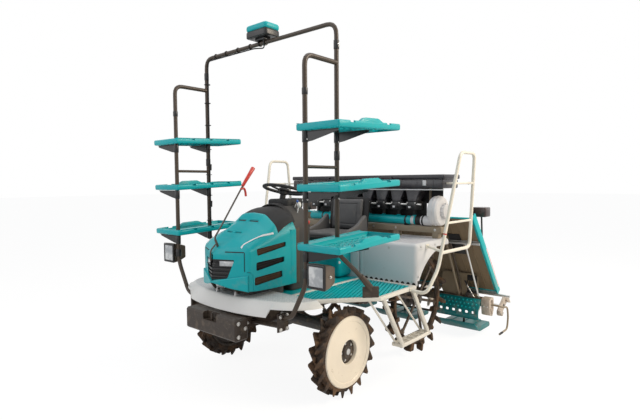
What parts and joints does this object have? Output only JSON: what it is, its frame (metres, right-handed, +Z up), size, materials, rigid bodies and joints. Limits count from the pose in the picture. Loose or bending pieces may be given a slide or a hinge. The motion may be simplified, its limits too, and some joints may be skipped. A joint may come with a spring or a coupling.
{
  "type": "rice transplanter",
  "caption": "Riding rice transplanter with rotary planting unit, sloped seedling table, side seedling racks, fertiliser hopper and lugged paddy wheels.",
  "frame": {"origin": "middle of the machine's footprint on the ground, planting unit lowered and table slid to its right end", "axes": "+X forward in the direction of travel, +Y to the driver's left, +Z up"},
  "size_m": [3.125, 2.376, 2.753],
  "materials": {
    "teal_plastic": "satin moulded plastic",
    "cream_paint": "satin paint",
    "pale_grey_plastic": "matte moulded plastic",
    "brown_tube": "satin dark paint",
    "black_plastic": "matte",
    "rubber": "matte rubber",
    "aluminium_casting": "cast",
    "bright_steel": "bright",
    "dark_grey": "matte paint",
    "beige_paint": "satin paint"
  },
  "bodies": {
    "machine": {"chassis_frame": "brown_tube", "front_axle": "dark_grey", "rear_axle": "dark_grey", "engine_block": "dark_grey", "front_bumper": "brown_tube", "front_deck": "cream_paint", "floor_deck": "teal_plastic", "side_deck_left": "teal_plastic", "side_deck_right": "teal_plastic", "rear_fender_left": "pale_grey_plastic", "rear_fender_right": "pale_grey_plastic", "seat_base": "pale_grey_plastic", "seat": "black_plastic", "dash_cowl": "dark_grey", "rack_left": "teal_plastic", "rack_right": "teal_plastic", "rack_arch": "brown_tube", "antenna": "teal_plastic", "antenna_cable": "black_plastic", "work_lamp_left": "black_plastic", "work_lamp_right": "black_plastic", "fertiliser_frame": "beige_paint", "fertiliser_hopper": "dark_grey", "metering_units": "black_plastic", "air_duct": "teal_plastic", "blower": "pale_grey_plastic", "handrail_left": "cream_paint", "handrail_right": "cream_paint"},
    "left_knuckle": {"knuckle_left": "dark_grey"},
    "right_knuckle": {"knuckle_right": "dark_grey"},
    "left_front_wheel": {"front_wheel_left": "rubber"},
    "right_front_wheel": {"front_wheel_right": "rubber"},
    "left_rear_wheel": {"rear_wheel_left": "rubber"},
    "right_rear_wheel": {"rear_wheel_right": "rubber"},
    "steering": {"steering_wheel": "black_plastic"},
    "hood": {"bonnet": "teal_plastic", "grille": "black_plastic", "centre_pole": "bright_steel"},
    "lid": {"hopper_lid": "dark_grey"},
    "top_link": {"upper_link": "brown_tube"},
    "bottom_links": {"lower_links": "brown_tube"},
    "cylinder_barrel": {"lift_cylinder": "dark_grey"},
    "cylinder_rod": {"lift_rod": "bright_steel"},
    "planting_unit": {"planting_frame": "beige_paint", "mud_guard_left": "teal_plastic", "mud_guard_right": "teal_plastic", "floats": "teal_plastic"},
    "table": {"seedling_table": "teal_plastic"},
    "rotors": {"rotor_1": "aluminium_casting", "rotor_2": "aluminium_casting", "rotor_3": "aluminium_casting", "rotor_4": "aluminium_casting"}
  },
  "joints": [
    {"name": "steer_left", "type": "hinge", "parent": "machine", "child": "left_knuckle", "pos_m": [0.8685, 0.578, 0.5], "axis": [0, 0, 1], "range_deg": [-42, 42]},
    {"name": "steer_right", "type": "hinge", "parent": "machine", "child": "right_knuckle", "pos_m": [0.8685, -0.462, 0.5], "axis": [0, 0, 1], "range_deg": [-42, 42]},
    {"name": "steering_column", "type": "hinge", "parent": "machine", "child": "steering", "pos_m": [0.8075, 0.058, 1.492], "axis": [-0.2531, 0, 0.9674], "range_deg": [-420, 420]},
    {"name": "spin_front_left", "type": "hinge", "parent": "left_knuckle", "child": "left_front_wheel", "pos_m": [0.8685, 0.714, 0.325], "axis": [0, 1, 0], "continuous": true},
    {"name": "spin_front_right", "type": "hinge", "parent": "right_knuckle", "child": "right_front_wheel", "pos_m": [0.8685, -0.598, 0.325], "axis": [0, 1, 0], "continuous": true},
    {"name": "spin_rear_left", "type": "hinge", "parent": "machine", "child": "left_rear_wheel", "pos_m": [-0.2975, 0.657, 0.475], "axis": [0, 1, 0], "continuous": true},
    {"name": "spin_rear_right", "type": "hinge", "parent": "machine", "child": "right_rear_wheel", "pos_m": [-0.2975, -0.541, 0.475], "axis": [0, 1, 0], "continuous": true},
    {"name": "bonnet_hinge", "type": "hinge", "parent": "machine", "child": "hood", "pos_m": [1.4025, 0.058, 0.766], "axis": [0, 1, 0], "range_deg": [0, 45]},
    {"name": "lid_hinge", "type": "hinge", "parent": "machine", "child": "lid", "pos_m": [-0.2075, 0.058, 1.57], "axis": [0, 1, 0], "range_deg": [0, 100]},
    {"name": "lift", "type": "hinge", "parent": "machine", "child": "top_link", "pos_m": [-0.4875, 0.058, 0.74], "axis": [0, 1, 0], "range_deg": [0, 44]},
    {"name": "lower_lift", "type": "hinge", "parent": "machine", "child": "bottom_links", "pos_m": [-0.4875, 0.058, 0.44], "axis": [0, 1, 0], "range_deg": [0, 44]},
    {"name": "unit_pivot", "type": "hinge", "parent": "top_link", "child": "planting_unit", "pos_m": [-0.95109, 0.058, 0.5527], "axis": [0, 1, 0], "range_deg": [-44, 0]},
    {"name": "cylinder_swing", "type": "hinge", "parent": "machine", "child": "cylinder_barrel", "pos_m": [-0.1975, 0.058, 0.66], "axis": [0, 1, 0], "range_deg": [0, 7.4]},
    {"name": "rod_slide", "type": "slide", "parent": "cylinder_barrel", "child": "cylinder_rod", "axis": [0.8764, 0, -0.4816], "range_m": [0, 0.06967]},
    {"name": "table_slide", "type": "slide", "parent": "planting_unit", "child": "table", "axis": [0, 1, 0], "range_m": [0, 0.24]},
    {"name": "rotor_spin", "type": "hinge", "parent": "planting_unit", "child": "rotors", "pos_m": [-1.3975, 0.058, 0.25], "axis": [0, 1, 0], "continuous": true}
  ],
  "couplings": [
    {"joint": "steer_right", "follows": "steer_left", "ratio": 1},
    {"joint": "steering_column", "follows": "steer_left", "ratio": 10},
    {"joint": "lower_lift", "follows": "lift", "ratio": 1},
    {"joint": "unit_pivot", "follows": "lift", "ratio": -1},
    {"joint": "cylinder_swing", "follows": "lift", "ratio": 0.16812},
    {"joint": "rod_slide", "follows": "lift", "m_per_rad": 0.090713}
  ]
}
